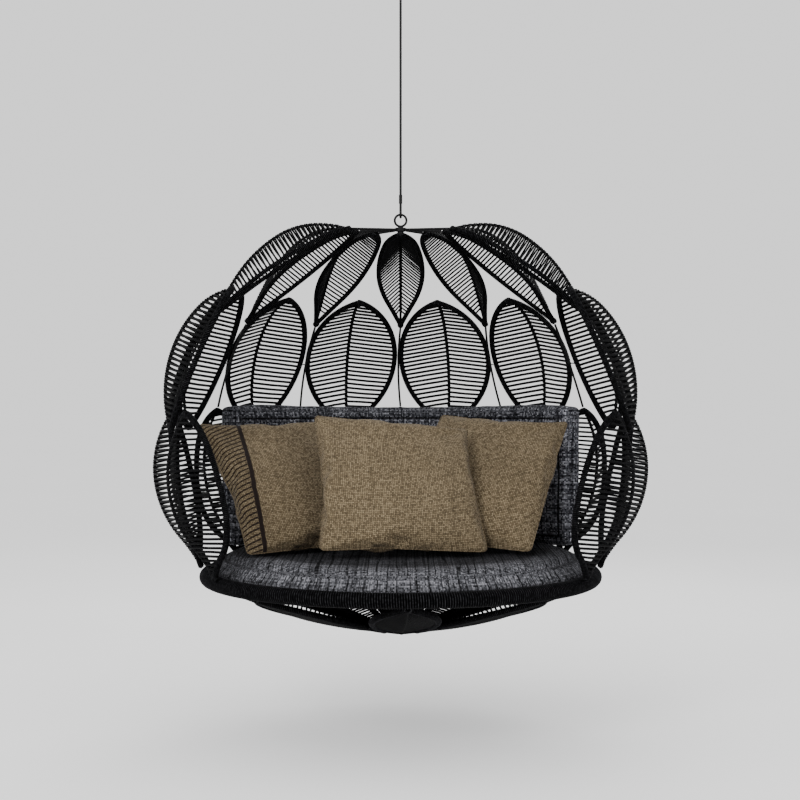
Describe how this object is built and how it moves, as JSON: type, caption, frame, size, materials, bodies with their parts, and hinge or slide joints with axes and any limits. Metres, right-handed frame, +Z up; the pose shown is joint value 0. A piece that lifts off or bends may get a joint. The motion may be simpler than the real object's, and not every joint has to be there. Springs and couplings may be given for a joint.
{
  "type": "hanging egg chair",
  "caption": "Hanging egg chair: open-fronted lattice cage of corded leaf frames on a wrapped base ring, hung by a cable, with seat pad, back cushion and pillows.",
  "frame": {"origin": "centre of the ceiling plate's upper face, where it meets the ceiling", "axes": "+Z up into the ceiling, the chair hangs down along -Z; the open front faces -Y; +X is to the right seen from the front"},
  "size_m": [1.4858, 1.3414, 2.1325],
  "materials": {
    "black_fittings": "satin",
    "steel_fittings": "satin",
    "black_cable": "satin",
    "black_steel": "satin",
    "black_aluminium": "satin",
    "wrapped_tube": "satin",
    "strung_cord": "satin",
    "seat_fabric": "matte",
    "back_fabric": "matte",
    "pillow_fabric": "matte"
  },
  "bodies": {
    "ceiling_fitting": {"ceiling_plate": "black_fittings", "ceiling_eye": "black_fittings"},
    "link": {"quick_link": "steel_fittings", "link_sleeve": "steel_fittings"},
    "swivel": {"swivel_housing": "black_fittings", "swivel_cap": "black_fittings", "swivel_thrust_washer": "steel_fittings"},
    "hanging_cable": {"swivel_shaft": "black_fittings", "cable": "black_cable", "cable_ferrule": "black_cable", "cable_loop": "black_cable"},
    "cage": {"chair_ring": "black_steel", "crown_hub": "black_steel", "hub_nut": "black_steel", "crown_spokes": "black_steel", "lattice_stems": "black_steel", "seat_support": "black_aluminium", "bowl_boss": "black_aluminium", "base_ring": "wrapped_tube", "seat_pad": "seat_fabric", "back_cushion": "back_fabric", "centre_pillow": "pillow_fabric", "left_pillow": "pillow_fabric", "right_pillow": "pillow_fabric", "crown_leaf_1": "wrapped_tube", "crown_leaf_2": "wrapped_tube", "crown_leaf_3": "wrapped_tube", "crown_leaf_4": "wrapped_tube", "crown_leaf_5": "wrapped_tube", "crown_leaf_6": "wrapped_tube", "crown_leaf_7": "wrapped_tube", "crown_leaf_cords": "strung_cord", "middle_leaf_1": "wrapped_tube", "middle_leaf_2": "wrapped_tube", "middle_leaf_3": "wrapped_tube", "middle_leaf_4": "wrapped_tube", "middle_leaf_5": "wrapped_tube", "middle_leaf_6": "wrapped_tube", "middle_leaf_7": "wrapped_tube", "middle_leaf_8": "wrapped_tube", "middle_leaf_cords": "strung_cord", "lower_leaf_1": "wrapped_tube", "lower_leaf_2": "wrapped_tube", "lower_leaf_3": "wrapped_tube", "lower_leaf_4": "wrapped_tube", "lower_leaf_5": "wrapped_tube", "lower_leaf_6": "wrapped_tube", "lower_leaf_7": "wrapped_tube", "lower_leaf_8": "wrapped_tube", "lower_leaf_9": "wrapped_tube", "lower_leaf_cords": "strung_cord", "bowl_leaf_1": "wrapped_tube", "bowl_leaf_2": "wrapped_tube", "bowl_leaf_3": "wrapped_tube", "bowl_leaf_4": "wrapped_tube", "bowl_leaf_5": "wrapped_tube", "bowl_leaf_6": "wrapped_tube", "bowl_leaf_7": "wrapped_tube", "bowl_leaf_8": "wrapped_tube", "bowl_leaf_cords": "strung_cord"}
  },
  "joints": [
    {"name": "sideways_swing", "type": "hinge", "parent": "ceiling_fitting", "child": "link", "pos_m": [0, 0, -0.034], "axis": [0, 1, 0], "range_deg": [-30, 30]},
    {"name": "fore_aft_swing", "type": "hinge", "parent": "link", "child": "swivel", "pos_m": [0, 0, -0.0927], "axis": [1, 0, 0], "range_deg": [-30, 30]},
    {"name": "swivel_spin", "type": "hinge", "parent": "swivel", "child": "hanging_cable", "pos_m": [0, 0, -0.14], "axis": [0, 0, 1], "continuous": true},
    {"name": "ring_tilt", "type": "hinge", "parent": "hanging_cable", "child": "cage", "pos_m": [0, 0, -0.8654], "axis": [1, 0, 0], "range_deg": [-15, 15]}
  ]
}
